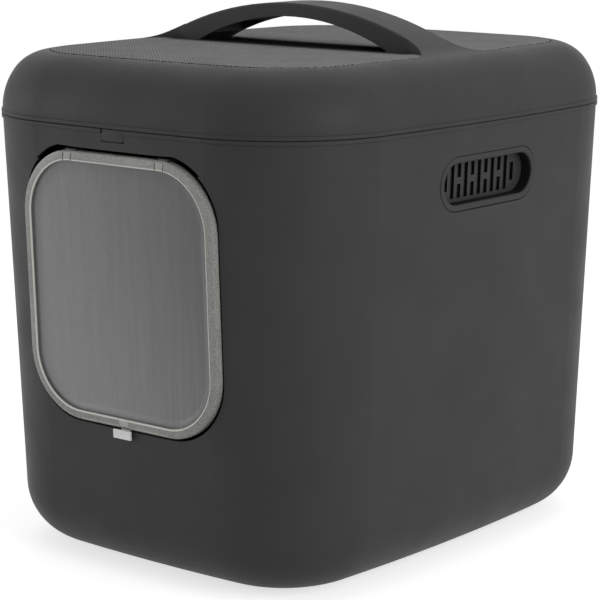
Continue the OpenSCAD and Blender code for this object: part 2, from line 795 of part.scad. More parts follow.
module lid() {
  color(plastic) difference() {
    union() {
      difference() {
        union() {
          round_body() lid_profile();
          middle(top_z - top_wall, top_z);
        }
        difference() {
          body_slab(shoulder_w, top_z - recess_depth, top_z + bite);
          for (side = [-1, 1]) handle_land(side, 0);
        }
        catch_room();
      }
      handle_strap();
      for (turn = [0, 1]) mirror([turn, 0, 0]) handle_foot();
      for (side = [-1, 1])
        along_x(side * hinge_x - hinge_mid_w / 2, side * hinge_x + hinge_mid_w / 2) lid_hinge_arm();
      catch_ears();
      spring_boss();
    }
    for (side = [-1, 1])
      pin(hinge_pin_r + pin_fit, hinge_mid_w + 2 * bite, side * hinge_x, hinge_y, hinge_z);
    pin(catch_pin_r + pin_fit, stem_w + 2 * ear_gap + 2 * catch_ear_t + 2 * bite, 0, catch_y, catch_z);
  }
}

module top_mat() {
  color(mat_grey) difference() {
    body_slab(shoulder_w + mat_gap, top_z - recess_depth, top_z + mat_proud);
    for (side = [-1, 1]) handle_land(side, mat_gap);
  }
}

module lid_hinge_pin(side) {
  color(steel) pin(hinge_pin_r, hinge_span, side * hinge_x, hinge_y, hinge_z);
}

// --- Flap -----------------------------------------------------------------

ear_near = knuckle_w / 2 + side_gap;
ear_far = ear_near + bracket_ear_t;
ear_clear = 0.3;
ring_bevel = 1;

module ring_profile() {
  polygon(concat(
    [[0, -ring_t]],
    arc([-ring_edge, -ring_edge], ring_edge, 0, 90),
    [[ring_bevel - ring_w, 0], [-ring_w, -ring_bevel], [-ring_w, -ring_lip],
     [panel_seat - ring_w, -ring_lip], [panel_seat - ring_w, -ring_t]]
  ));
}

module flap_frame() {
  color(frame_grey) at_flap() difference() {
    union() {
      round_frame(flap_w, flap_h, flap_r) ring_profile();
      for (side = [-1, 1]) pin(knuckle_r, knuckle_w, side * pivot_x, pivot_u, -pivot_depth);
    }
    for (side = [-1, 1], ear = [-1, 1]) {
      near = side * pivot_x + ear * (ear_near - side_gap / 2);
      far = side * pivot_x + ear * (ear_far + side_gap);
      block([min(near, far), flap_h / 2 - ring_w - bite, -ring_t - bite],
            [max(near, far), flap_h / 2 + bite, -pivot_depth + bracket_ear_r + ear_clear]);
    }
    for (side = [-1, 1])
      pin(pivot_pin_r + pin_fit, knuckle_w + 2 * bite, side * pivot_x, pivot_u, -pivot_depth);
    // Socket for the lock's tongue in the lower bar.
    block([-tongue_w / 2 - lock_fit, -flap_h / 2 - bite, tongue_v - tongue_t - lock_fit],
          [tongue_w / 2 + lock_fit, tongue_top + lock_travel + lock_fit, tongue_v + lock_fit]);
  }
}

panel_inset = ring_w - panel_seat + panel_fit;
// Width that is swept round the panel's raised middle.
panel_run = panel_seat + panel_border;
panel_knuckle_gap = 1;
panel_lock_gap = 0.5;
module flap_panel() {
  raised_w = flap_w - 2 * (ring_w + panel_border);
  raised_h = flap_h - 2 * (ring_w + panel_border);
  raised_r = flap_r - ring_w - panel_border;
  color(smoke) at_flap() difference() {
    union() {
      round_slab(flap_w - 2 * panel_inset, flap_h - 2 * panel_inset, flap_r - panel_inset,
                 -ring_lip - panel_t, -ring_lip);
      round_frame(raised_w, raised_h, raised_r)
        polygon([[0, -ring_lip], [-panel_raise, panel_raise - ring_lip],
                 [-panel_raise - panel_run, panel_raise - ring_lip],
                 [-panel_raise - panel_run, -ring_lip]]);
      round_slab(raised_w - 2 * (panel_raise + panel_run), raised_h - 2 * (panel_raise + panel_run),
                 raised_r - panel_raise - panel_run, -ring_lip, panel_raise - ring_lip);
    }
    for (side = [-1, 1])
      block([side * pivot_x - ear_far - side_gap, flap_h / 2 - ring_w + panel_knuckle_gap, -ring_t - bite],
            [side * pivot_x + ear_far + side_gap, flap_h / 2, 0]);
    block([-tongue_w / 2 - 2 * lock_fit, -flap_h / 2, -ring_t - bite],
          [tongue_w / 2 + 2 * lock_fit, -flap_h / 2 + ring_w - panel_lock_gap, 0]);
  }
}

// A bracket's ear in (height, depth): round at the pin, reaching back, then up to its plate.
arm_lean = 20;
arm_back_r = 2.6;
arm_back_u = pivot_u + 3.4;
arm_back_v = -pivot_depth - 9.2;
arm_root = 1.5;
plate_bite = 0.5;
module bracket_ear() {
  tilt = [cos(arm_lean), sin(arm_lean)];
  front = [pivot_u, -pivot_depth];
  back = [arm_back_u, arm_back_v];
  plate_v = pad_v - bracket_t + plate_bite;
  translate(front) circle(bracket_ear_r, $fn = round_fn);
  translate(back) circle(arm_back_r, $fn = round_fn);
  polygon([front + bracket_ear_r * tilt, front - bracket_ear_r * tilt,
           back - arm_back_r * tilt, back + arm_back_r * tilt]);
  polygon([back + [0, -arm_back_r], [pad_low + bracket_h, plate_v],
           [pad_low + plate_bite, plate_v], back + [arm_root, arm_back_r - sunk]]);
}

module flap_bracket(side) {
  color(plastic) at_flap() difference() {
    union() {
      block([side * pivot_x - pad_half_w, pad_low, pad_v - bracket_t],
            [side * pivot_x + pad_half_w, pad_low + bracket_h, pad_v]);
      for (ear = [-1, 1]) {
        from = side * pivot_x + (ear > 0 ? ear_near : -ear_far);
        along_x(from, from + bracket_ear_t) bracket_ear();
      }
    }
    pin(pivot_pin_r + pin_fit, 2 * ear_far + 2 * bite, side * pivot_x, pivot_u, -pivot_depth);
  }
}

module flap_pin(side) {
  color(steel) at_flap() pin(pivot_pin_r, 2 * ear_far, side * pivot_x, pivot_u, -pivot_depth);
}

tongue_gap = 0.4;
tongue_sink = 0.4;
neck_gap = 0.2;
clip_gap = 0.6;
tongue_top = -flap_h / 2 - tongue_gap;
tongue_v = -flap_proud - tongue_sink;
knob_v = lock_fit;
neck_top = -flap_h / 2 - lock_travel - lock_fit - neck_gap;
neck_low = tongue_top - lock_h + lock_fit;
clip_v = -flap_proud - wall - clip_gap;

module flap_lock() {
  color(pale) at_flap() {
    block([-lock_w / 2, tongue_top - lock_h, knob_v], [lock_w / 2, tongue_top, knob_v + lock_t]);
    block([-tongue_w / 2, neck_low, clip_v], [tongue_w / 2, neck_top, knob_v]);
    block([-tongue_w / 2, neck_low, tongue_v - tongue_t], [tongue_w / 2, tongue_top, tongue_v]);
  }
}

module flap_lock_clip() {
  color(plastic) at_flap()
    block([-clip_w / 2, neck_top - clip_h, clip_v - clip_t], [clip_w / 2, neck_top, clip_v]);
}

// --- Lid catch ------------------------------------------------------------

tab_sink = 0.2;
tab_top = rim_z - 0.3;
tab_front = -half_d - face_out(rim_z) + tab_sink;
stem_front = -half_d + bead_t + lid_wall + 1.2;
stem_t = 3.4;
stem_back = stem_front + stem_t;
stem_low = rim_z - catch_drop + 1.5;
hub_r = 3.2;
bar_low = catch_z - 5;
bar_high = catch_z - 1;
arm_low = catch_z - 1.5;
wing_y = -half_d - face_in(rim_z) + ledge_reach + 0.5;
wing_t = 2.4;
wing_h = 2.6;
wing_top = ledge_z - wing_clear;
wing_reach = 4.4;

// A tab in the rim's notch on a stem that turns on a pin, with an arm back to its spring
// and two wings that hook under the ledges.
module lid_catch() {
  half = catch_w / 2;
  color(plastic) difference() {
    union() {
      block([-half, tab_front, rim_z - catch_drop], [half, tab_front + catch_t, tab_top]);
      block([-stem_w / 2, tab_front + catch_t - sunk, stem_low], [stem_w / 2, stem_back, tab_top]);
      block([-stem_w / 2, stem_front, rim_z - bite], [stem_w / 2, stem_back, catch_z - bite]);
      block([-stem_w / 2, stem_front, bar_low], [stem_w / 2, catch_y, bar_high]);
      block([-stem_w / 2, catch_y, arm_low], [stem_w / 2, spring_y + boss_r, catch_z + bite]);
      pin(hub_r, stem_w, 0, catch_y, catch_z);
      translate([0, spring_y, catch_z]) cylinder(r = boss_r, h = spring_seat, $fn = round_fn);
      block([-half - wing_reach, wing_y, wing_top - wing_h],
            [half + wing_reach, wing_y + wing_t, wing_top]);
      block([-half - bite, stem_front + sunk, wing_top - wing_h],
            [half + bite, wing_y + wing_t, wing_top]);
    }
    pin(catch_pin_r + pin_fit, stem_w + 2 * bite, 0, catch_y, catch_z);
  }
}

module lid_catch_pin() {
  color(steel) pin(catch_pin_r, stem_w + 2 * ear_gap + 2 * catch_ear_t, 0, catch_y, catch_z);
}

// Coil spring: one closed tube swept along a helix.
coil_sides = 8;
coil_steps = 16;
spring_gap = 0.05;
module lid_catch_spring() {
  n = spring_turns * coil_steps;
  rise = spring_h - spring_wire - 2 * spring_gap;
  ring = function(i) [for (k = [0 : coil_sides - 1])
    let (turn = 360 * i / coil_steps, a = 360 * k / coil_sides,
         r = spring_r + spring_wire / 2 * cos(a))
    [r * cos(turn), r * sin(turn), rise * i / n + spring_wire / 2 * sin(a)]];
  points = [for (i = [0 : n]) each ring(i)];
  sides = [for (i = [0 : n - 1], k = [0 : coil_sides - 1])
    let (a = i * coil_sides, b = (k + 1) % coil_sides)
    [a + k, a + b, a + coil_sides + b, a + coil_sides + k]];
  caps = [[for (k = [coil_sides - 1 : -1 : 0]) k], [for (k = [0 : coil_sides - 1]) n * coil_sides + k]];
  color(steel) translate([0, spring_y, spring_low + spring_wire / 2 + spring_gap])
    polyhedron(points = points,
               faces = [for (f = concat(sides, caps)) [for (i = [len(f) - 1 : -1 : 0]) f[i]]]);
}

// --- Vented grips ---------------------------------------------------------

grille_front = -grip_sink - grip_depth;
grille_back = grille_front - grille_t;
cup_back = grille_back - pocket_depth;
open_w = grip_w - 2 * grip_border;
open_h = grip_h - 2 * grip_border;

border_bevel = 0.6;
mouth_bevel = 0.8;
module cup_profile() {
  polygon([[0, grip_seat], [0, -grip_sink - border_bevel], [-border_bevel, -grip_sink],
           [mouth_bevel - grip_border, -grip_sink], [-grip_border, -grip_sink - mouth_bevel],
           [-grip_border, cup_back], [cup_wall - grip_border, cup_back],
           [cup_wall - grip_border, grip_seat]]);
}

module slot(x, low, high, from, to) {
  block([x - slot_w / 2, low, from], [x + slot_w / 2, high, to]);
}

module grille_slots(from, to) {
  for (i = [-slot_side_count : slot_side_count]) {
    last = abs(i) == slot_side_count;
    high = last ? end_slot_h / 2 : slot_h / 2;
    if (i % 2 == 0 || last) slot(i * slot_pitch, -high, high, from, to);
    else for (way = [-1, 1])
      slot(i * slot_pitch, way > 0 ? bridge_h / 2 : -high, way > 0 ? high : -bridge_h / 2, from, to);
  }
}

module grip(side) {
  color(plastic) at_grip(side) difference() {
    union() {
      round_frame(grip_w, grip_h, grip_h / 2) cup_profile();
      round_slab(open_w + cup_wall, open_h + cup_wall, open_h / 2 + cup_wall / 2, grille_back, grille_front);
    }
    grille_slots(grille_back - bite, grille_front + bite);
  }
}

module filter(side) {
  color(charcoal) at_grip(side)
    round_slab(open_w - 2 * filter_fit, open_h - 2 * filter_fit, open_h / 2 - filter_fit,
               grille_back - filter_t, grille_back);
}

module filter_cover(side) {
  color(plastic) at_grip(side) {
    difference() {
      round_slab(cup_w, cup_h, cup_h / 2, cup_back - cover_t, cup_back);
      grille_slots(cup_back - cover_t - bite, cup_back + bite);
    }
    round_frame(open_w - 2 * filter_fit, open_h - 2 * filter_fit, open_h / 2 - filter_fit)
      polygon([[0, cup_back], [0, grille_back - filter_t],
               [-cover_rim_t, grille_back - filter_t], [-cover_rim_t, cup_back]]);
  }
}

bin();
feet();
lid();
top_mat();
lid_hinge_pin(-1);  // lid_hinge_pin_left
lid_hinge_pin(1);  // lid_hinge_pin_right
flap_frame();
flap_panel();
flap_bracket(-1);  // flap_bracket_left
flap_bracket(1);  // flap_bracket_right
flap_pin(-1);  // flap_pin_left
flap_pin(1);  // flap_pin_right
flap_lock();
flap_lock_clip();
lid_catch();
lid_catch_pin();
lid_catch_spring();
grip(-1);  // grip_left
grip(1);  // grip_right
filter(-1);  // filter_left
filter(1);  // filter_right
filter_cover(-1);  // filter_cover_left
filter_cover(1);  // filter_cover_right
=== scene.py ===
import json
import math

import bmesh
import bpy
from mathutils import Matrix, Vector


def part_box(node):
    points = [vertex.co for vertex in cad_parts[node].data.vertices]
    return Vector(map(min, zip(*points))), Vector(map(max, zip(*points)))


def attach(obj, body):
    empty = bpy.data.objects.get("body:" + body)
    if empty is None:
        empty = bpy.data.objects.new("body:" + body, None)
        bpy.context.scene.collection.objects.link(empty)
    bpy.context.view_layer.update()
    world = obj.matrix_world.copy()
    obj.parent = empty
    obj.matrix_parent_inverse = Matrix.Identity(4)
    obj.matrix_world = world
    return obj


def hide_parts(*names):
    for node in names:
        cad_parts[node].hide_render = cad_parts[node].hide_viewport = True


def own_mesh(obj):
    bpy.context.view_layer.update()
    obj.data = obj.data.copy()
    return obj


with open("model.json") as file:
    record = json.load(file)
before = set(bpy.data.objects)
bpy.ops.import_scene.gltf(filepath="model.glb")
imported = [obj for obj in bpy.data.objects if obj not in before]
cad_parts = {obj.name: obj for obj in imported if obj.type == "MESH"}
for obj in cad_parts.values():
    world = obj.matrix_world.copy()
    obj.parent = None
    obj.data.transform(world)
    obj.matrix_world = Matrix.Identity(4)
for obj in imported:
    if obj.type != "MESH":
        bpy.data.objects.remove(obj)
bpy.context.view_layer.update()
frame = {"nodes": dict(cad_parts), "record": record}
nodes = frame["nodes"]

MM = 0.001


# --- Materials --------------------------------------------------------------
# Lengths in this section are metres, as the shaders read them.

CHARCOAL, SILVER, SMOKE = (1.0, 1.0, 1.03), (1.0, 1.01, 0.94), (1.0, 0.99, 1.02)
# How far out the grips' faces stand, how high the mat's top lies, and the mat's weave.
GRIP_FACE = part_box("grip_right")[1][0]
MAT_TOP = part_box("top_mat")[1][2]
MAT_PITCH = 0.0034
# Where the handle's shadow is painted dark on the mat, each as the place where the painted shadow
# starts and where it is full: along and across the strip before its middle and the line before its feet.
HANDLE_SHADOW_ALONG, HANDLE_SHADOW_ACROSS = (-0.044, -0.023), (0.136, 0.128)
FOOT_SHADOW_ALONG, FOOT_SHADOW_ACROSS = (-0.028, -0.0235), (0.15, 0.138)
# Behind the handle the painted shadow fades out again.
HANDLE_SHADOW_FADE = (0.022, 0.004)


class Finish:
    """A material whose nodes are added one by one and wired to its shader."""

    def __init__(self, name, roughness=0.5, specular=0.5, metallic=0.0):
        self.material = bpy.data.materials.new(name)
        self.material.use_nodes = True
        self.tree = self.material.node_tree
        self.shader = self.tree.nodes["Principled BSDF"]
        self.shader.inputs["Roughness"].default_value = roughness
        self.shader.inputs["Specular IOR Level"].default_value = specular
        self.shader.inputs["Metallic"].default_value = metallic
        self.place = self.add("ShaderNodeTexCoord").outputs["Object"]

    def add(self, kind, **settings):
        """Adds a node and sets its options."""
        node = self.tree.nodes.new(kind)
        for key, value in settings.items():
            setattr(node, key, value)
        return node

    def wire(self, source, target):
        self.tree.links.new(source, target)

    def stretch(self, scale):
        """Object coordinates, scaled apart along each axis."""
        mapping = self.add("ShaderNodeMapping")
        mapping.inputs["Scale"].default_value = scale
        self.wire(self.place, mapping.inputs["Vector"])
        return mapping.outputs["Vector"]

    def noise(self, scale, detail=2.0, roughness=0.5, vector=None):
        """Cloudy noise, 0 to 1, over the object coordinates or another vector."""
        node = self.add("ShaderNodeTexNoise")
        node.inputs["Scale"].default_value = scale
        node.inputs["Detail"].default_value = detail
        node.inputs["Roughness"].default_value = roughness
        self.wire(vector or self.place, node.inputs["Vector"])
        return node.outputs["Fac"]

    def parts(self):
        """The three object coordinates, one by one."""
        node = self.add("ShaderNodeSeparateXYZ")
        self.wire(self.place, node.inputs["Vector"])
        return node.outputs

    def ripple(self, value, pitch, shift):
        """A sine wave over a length, -1 to 1, set off by a shift in radians."""
        turn = self.math("MULTIPLY", value, math.tau / pitch)
        return self.math("SINE", self.math("ADD", turn, shift))

    def cells(self, scale):
        """The distance to the nearest of many scattered points."""
        node = self.add("ShaderNodeTexVoronoi", feature="F1")
        node.inputs["Scale"].default_value = scale
        self.wire(self.place, node.inputs["Vector"])
        return node.outputs["Distance"]

    def band(self, value, low, high, new_low=0.0, new_high=1.0):
        """Maps one range of a value smoothly onto another."""
        node = self.add("ShaderNodeMapRange", interpolation_type="SMOOTHSTEP")
        limits = {"From Min": low, "From Max": high, "To Min": new_low, "To Max": new_high}
        for slot, number in limits.items():
            node.inputs[slot].default_value = number
        self.wire(value, node.inputs["Value"])
        return node.outputs["Result"]

    def math(self, operation, first, second=0):
        """The result of a sum or function of one or two values, each a number or a socket."""
        node = self.add("ShaderNodeMath", operation=operation)
        for socket, value in zip(node.inputs, (first, second)):
            if isinstance(value, (int, float)):
                socket.default_value = value
            else:
                self.wire(value, socket)
        return node.outputs["Value"]

    def weigh(self, first, share, second, other_share):
        """The sum of two values, each times its share."""
        return self.math("ADD", self.math("MULTIPLY", first, share),
                         self.math("MULTIPLY", second, other_share))

    def mix(self, factor, first, second):
        """Mixes two colours, each given as a tuple or a socket."""
        node = self.add("ShaderNodeMix", data_type="RGBA")
        self.wire(factor, node.inputs["Factor"])
        # The node's colours are its inputs 6 and 7 and its output 2.
        for socket, value in ((node.inputs[6], first), (node.inputs[7], second)):
            if isinstance(value, tuple):
                socket.default_value = (*value, 1.0)
            else:
                self.wire(value, socket)
        return node.outputs[2]

    def colour(self, socket):
        self.wire(socket, self.shader.inputs["Base Color"])

    def rough(self, socket):
        self.wire(socket, self.shader.inputs["Roughness"])

    def bump(self, *layers):
        """Adds bumps, each a height value and its depth in metres."""
        normal = None
        for height, depth in layers:
            node = self.add("ShaderNodeBump")
            node.inputs["Distance"].default_value = depth
            self.wire(height, node.inputs["Height"])
            if normal is not None:
                self.wire(normal, node.inputs["Normal"])
            normal = node.outputs["Normal"]
        self.wire(normal, self.shader.inputs["Normal"])


def grey(level, tint=(1.0, 1.0, 1.0)):
    """A grey of this level, leaning to a tint."""
    return tuple(level * t for t in tint)


def moulded_plastic(name, level, roughness, tint=(1.0, 1.0, 1.0), grain=0.00004, specular=0.5):
    """Moulded plastic: faint flow clouds in its colour, a fine spark-eroded grain and worn patches in its
    roughness.
    """
    finish = Finish(name, roughness, specular)
    clouds = finish.noise(9, 4, 0.6)
    flecks = finish.noise(900, 2)
    tone = finish.weigh(clouds, 0.8, flecks, 0.2)
    finish.colour(finish.mix(finish.band(tone, 0.3, 0.7),
                             grey(level * 0.93, tint), grey(level * 1.07, tint)))
    rubs = finish.noise(22, 5, 0.65)
    finish.rough(finish.band(rubs, 0.3, 0.75, roughness - 0.04, roughness + 0.05))
    finish.bump((finish.noise(1300, 2, 0.6), grain), (finish.noise(14, 2), 0.0003))
    return finish.material


def grip_plastic():
    """Charcoal plastic, with painted shade that turns the deep upright walls of the recess nearly black."""
    finish = Finish("grip_plastic", 0.56, 0.2)
    skin = finish.noise(900, 3, 0.6)
    outside = finish.mix(finish.band(skin, 0.3, 0.7), grey(0.03, CHARCOAL), grey(0.037, CHARCOAL))
    facing = finish.add("ShaderNodeSeparateXYZ")
    finish.wire(finish.add("ShaderNodeTexCoord").outputs["Normal"], facing.inputs["Vector"])
    upright = finish.band(finish.math("ABSOLUTE", facing.outputs["X"]), 0.75, 0.35)
    from_middle = finish.math("ABSOLUTE", finish.parts()[0])
    deep = finish.band(from_middle, GRIP_FACE - 0.0008, GRIP_FACE - 0.0045)
    # Painted shade: upright faces deep in the recess are painted nearly black.
    finish.colour(finish.mix(finish.math("MULTIPLY", upright, deep), outside, grey(0.004)))
    finish.rough(finish.band(skin, 0.3, 0.7, 0.5, 0.6))
    finish.bump((finish.noise(1300, 2, 0.6), 0.00004))
    return finish.material


def charcoal_plastic():
    """Dull charcoal plastic of the bin and the lid."""
    return moulded_plastic("charcoal_plastic", 0.0358, 0.56, CHARCOAL, specular=0.2)


def mat_rubber():
    """Mat moulded as a coarse weave, with painted shade along its uneven edge and a painted shadow of the
    handle in a strip by it.
    """
    finish = Finish("mat_rubber", 0.75, 0.0)
    sway = finish.math("MULTIPLY", finish.math("SUBTRACT", finish.noise(150, 3), 0.5), 3.0)
    across, along, height = finish.parts()
    weave = finish.math("MULTIPLY", finish.ripple(across, MAT_PITCH, sway),
                        finish.ripple(along, MAT_PITCH, sway))
    wear = finish.noise(30, 4, 0.6)
    base = finish.mix(finish.band(weave, -0.7, 0.7), grey(0.195), grey(0.315))
    worn = finish.mix(finish.band(wear, 0.35, 0.7, 0.0, 0.35), base, grey(0.18))
    # Painted shade: the mat's side faces, below its top by an uneven amount, are painted nearly black.
    uneven_edge_shade = finish.band(finish.noise(420, 2), 0.42, 0.55, 0.0, 0.0007)
    edge = finish.band(finish.math("ADD", height, uneven_edge_shade), MAT_TOP - 0.0006, MAT_TOP - 0.0001)
    off = finish.math("ABSOLUTE", across)
    # Painted shadow of the handle: a dark strip before its middle and a line before its feet.
    strip = finish.math("MULTIPLY", finish.band(along, *HANDLE_SHADOW_ALONG), finish.band(off, *HANDLE_SHADOW_ACROSS))
    line = finish.math("MULTIPLY", finish.band(along, *FOOT_SHADOW_ALONG), finish.band(off, *FOOT_SHADOW_ACROSS))
    dark = finish.math("MULTIPLY", finish.math("MAXIMUM", strip, line), finish.band(along, *HANDLE_SHADOW_FADE))
    finish.colour(finish.mix(edge, grey(0.004), finish.mix(dark, worn, grey(0.022))))
    finish.rough(finish.band(wear, 0.3, 0.7, 0.64, 0.76))
    finish.bump((finish.band(weave, -1, 1), 0.00045), (finish.noise(900, 3), 0.0004))
    return finish.material


def frame_plastic():
    """Silver-grey ring: sparkling flecks, a painted highlight on its inner rim and left outer roll, and
    painted shade on its inner wall and right outer roll.
    """
    finish = Finish("frame_plastic", 0.42, 0.45)
    flecks = finish.noise(900, 3, 0.8)
    flow = finish.noise(40, 3, vector=finish.stretch((1, 1, 0.3)))
    tone = finish.weigh(flecks, 0.75, flow, 0.25)
    body = finish.mix(finish.band(tone, 0.41, 0.59), grey(0.165, SILVER), grey(0.345, SILVER))
    painted_highlight = finish.add("ShaderNodeAttribute", attribute_name="painted_highlight").outputs["Fac"]
    shaded = finish.add("ShaderNodeAttribute", attribute_name="shaded").outputs["Fac"]
    # Painted highlight: marked faces are brightened towards a pale silver.
    bright = finish.mix(painted_highlight, body, grey(0.72, SILVER))
    # Painted shade: faces marked as shaded are darkened nearly to black.
    finish.colour(finish.mix(shaded, bright, grey(0.03, SILVER)))
    finish.rough(finish.band(flow, 0.3, 0.7, 0.38, 0.48))
    finish.bump((flecks, 0.00004))
    return finish.material


def smoked_panel():
    """Smoked acrylic: darker towards its upper right, with fine upright streaks on its frosted back."""
    finish = Finish("smoked_panel", 0.34, 0.4)
    across, _, height = finish.parts()
    slant = finish.weigh(across, 0.9, height, 0.55)
    streaks = finish.noise(260, 3, vector=finish.stretch((1, 1, 0.02)))
    slant_tone = finish.math("ADD", slant, finish.math("MULTIPLY", streaks, 0.12))
    finish.colour(finish.mix(finish.band(slant_tone, 0.05, 0.36), grey(0.275, SMOKE), grey(0.11, SMOKE)))
    finish.rough(finish.band(finish.noise(60, 4), 0.3, 0.7, 0.25, 0.32))
    finish.bump((finish.noise(3, 2), 0.0006), (finish.noise(700, 2), 0.00001))
    return finish.material


def pale_plastic():
    """Off-white plastic of the lock."""
    return moulded_plastic("pale_plastic", 0.82, 0.35, (1.0, 1.0, 0.99), grain=0.00002)


def foot_rubber():
    """Black rubber of the feet."""
    return moulded_plastic("foot_rubber", 0.02, 0.75, grain=0.00008)


def filter_foam():
    """Open-cell carbon foam."""
    finish = Finish("filter_foam", 0.95, 0.2)
    pores = finish.cells(520)
    finish.colour(finish.mix(finish.band(pores, 0.2, 0.7), grey(0.004), grey(0.02)))
    finish.bump((pores, 0.0012))
    return finish.material


def pin_steel():
    """Drawn steel: fine lines along the pin."""
    finish = Finish("pin_steel", 0.3, 0.5, 1.0)
    lines = finish.noise(3000, 2, vector=finish.stretch((0.02, 1, 1)))
    finish.colour(finish.mix(lines, grey(0.42), grey(0.6)))
    finish.rough(finish.band(lines, 0.3, 0.7, 0.25, 0.4))
    finish.bump((lines, 0.00001))
    return finish.material


def spring_steel():
    """Spring steel, stained here and there by its heat treatment."""
    finish = Finish("spring_steel", 0.3, 0.5, 1.0)
    stains = finish.noise(260, 4)
    finish.colour(finish.mix(finish.band(stains, 0.3, 0.7), grey(0.35), grey(0.55)))
    finish.bump((finish.noise(1500, 2), 0.00001))
    return finish.material


finishes = {make.__name__: make() for make in (
    charcoal_plastic, mat_rubber, foot_rubber, frame_plastic, smoked_panel,
    pale_plastic, filter_foam, pin_steel, spring_steel)}


def paint(piece, slot):
    """Gives a piece the finish named like its slot."""
    piece.data.materials.clear()
    piece.data.materials.append(finishes[slot])


for part in frame["record"]["subparts"]:
    paint(nodes[part["node"]], part["material_slot"])
grip_finish = grip_plastic()
for grip in ("grip_left", "grip_right"):
    nodes[grip].data.materials[0] = grip_finish


# --- Modelling --------------------------------------------------------------
# These helpers take millimetres.

def only(piece):
    """Makes a piece the only one selected."""
    bpy.ops.object.select_all(action="DESELECT")
    piece.select_set(True)
    bpy.context.view_layer.objects.active = piece


def start(add, name, **settings):
    """Adds a primitive at its place and opens it with nothing else selected."""
    bpy.ops.object.select_all(action="DESELECT")
    add(**settings)
    bpy.ops.object.transform_apply(location=True, rotation=True, scale=True)
    piece = bpy.context.object
    piece.name = name
    bpy.ops.object.mode_set(mode="EDIT")
    return piece


def close():
    """Joins what meets, turns every face outwards and leaves edit mode."""
    bpy.ops.mesh.select_all(action="SELECT")
    bpy.ops.mesh.remove_doubles(threshold=0.05 * MM)
    bpy.ops.mesh.normals_make_consistent(inside=False)
    bpy.ops.object.mode_set(mode="OBJECT")


def choose(test):
    """Selects the open mesh's faces by their centre and normal."""
    bpy.ops.mesh.select_mode(type="FACE")
    bpy.ops.mesh.select_all(action="DESELECT")
    shape = bmesh.from_edit_mesh(bpy.context.object.data)
    shape.normal_update()
    for face in shape.faces:
        face.select_set(test(face.calc_center_median(), face.normal))
    bmesh.update_edit_mesh(bpy.context.object.data)


def rise(height):
    """Extrudes the chosen faces along Z."""
    bpy.ops.mesh.extrude_region_move(TRANSFORM_OT_translate={"value": (0, 0, height * MM)})


def steps_in(*steps):
    """Insets the chosen face again and again, each time by a width and a height."""
    for width, height in steps:
        bpy.ops.mesh.inset(thickness=width * MM, depth=height * MM)


def quarter(radius, count):
    """The steps of a quarter round, from upright to flat."""
    turns = [math.pi / 2 * i / count for i in range(count + 1)]
    return [(radius * (math.cos(a) - math.cos(b)), radius * (math.sin(b) - math.sin(a)))
            for a, b in zip(turns, turns[1:])]


def rounded_slab(name, width, height, radius, low, high):
    """A slab with round corners. Its upper face is left selected."""
    slab = start(bpy.ops.mesh.primitive_plane_add, name, size=1, location=(0, 0, low * MM))
    bpy.ops.transform.resize(value=(width * MM, height * MM, 1))
    bpy.ops.mesh.bevel(affect="VERTICES", offset=radius * MM, segments=24, profile=0.5)
    rise(high - low)
    bpy.ops.mesh.select_all(action="SELECT")
    bpy.ops.mesh.normals_make_consistent(inside=False)
    choose(lambda at, way: way.z > 0.9)
    return slab


def block(low, high):
    """A plain block between two corners, as a tool or a blank."""
    low, high = Vector(low) * MM, Vector(high) * MM
    blank = start(bpy.ops.mesh.primitive_cube_add, "blank",
                  size=1, location=(low + high) / 2, scale=high - low)
    bpy.ops.object.mode_set(mode="OBJECT")
    return blank


def bar(radius, length, middle, axis, sides=40):
    """A round bar about its middle, along one axis."""
    turn = {"X": (0, math.pi / 2, 0), "Y": (math.pi / 2, 0, 0), "Z": (0, 0, 0)}[axis]
    bpy.ops.object.select_all(action="DESELECT")
    bpy.ops.mesh.primitive_cylinder_add(vertices=sides, radius=radius * MM, depth=length * MM,
                                        location=Vector(middle) * MM, rotation=turn)
    bpy.ops.object.transform_apply(location=True, rotation=True, scale=True)
    return bpy.context.object


def combine(piece, tools, operation="DIFFERENCE"):
    """Cuts tools from a piece, joins them to it, or keeps what lies in them."""
    only(piece)
    for tool in tools:
        shape = piece.modifiers.new("shape", "BOOLEAN")
        shape.operation, shape.object, shape.solver = operation, tool, "EXACT"
        bpy.ops.object.modifier_apply(modifier=shape.name)
        bpy.data.objects.remove(tool)


def soften(piece, width, segments):
    """Rounds a piece's sharp edges, those that turn by more than 40 degrees."""
    only(piece)
    edge = piece.modifiers.new("edge", "BEVEL")
    edge.width, edge.segments, edge.limit_method = width * MM, segments, "ANGLE"
    edge.angle_limit = math.radians(40)
    edge.use_clamp_overlap = True
    bpy.ops.object.modifier_apply(modifier=edge.name)


def hand_over(piece, slot, body, *replaced, angle=32):
    """Smooths a finished piece, paints it and puts it on its body, in place of any CAD nodes named."""
    only(piece)
    bpy.ops.object.shade_smooth_by_angle(angle=math.radians(angle))
    paint(piece, slot)
    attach(piece, body)
    if replaced:
        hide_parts(*replaced)


def mark(piece, name, amount):
    """Stores an amount, given by each face's centre and normal, as an attribute of the piece."""
    layer = piece.data.attributes.new(name, "FLOAT", "FACE")
    for face, entry in zip(piece.data.polygons, layer.data):
        entry.value = amount(face.center / MM, face.normal)


def hang(piece):
    """Turns a piece of the flap, modelled lying flat, into the leaning front wall."""
    only(piece)
    piece.rotation_euler = (math.pi / 2 + FLAP_LEAN, 0, 0)
    piece.location = FLAP_MIDDLE
    bpy.ops.object.transform_apply(location=True, rotation=True, scale=True)


# --- Flap -------------------------------------------------------------------
# Flat pieces lie in X (width), Y (height) and Z (depth, outwards), in millimetres from the flap's face.

FLAP_LEAN = math.radians(2.3)
FLAP_MIDDLE = Vector((0, -0.234744, 0.2371))
FLAP_W, FLAP_H, FLAP_R = 206, 222, 55
# The height of the flap's upper edge, and a place just past it.
EDGE = FLAP_H / 2
PAST = EDGE + 1
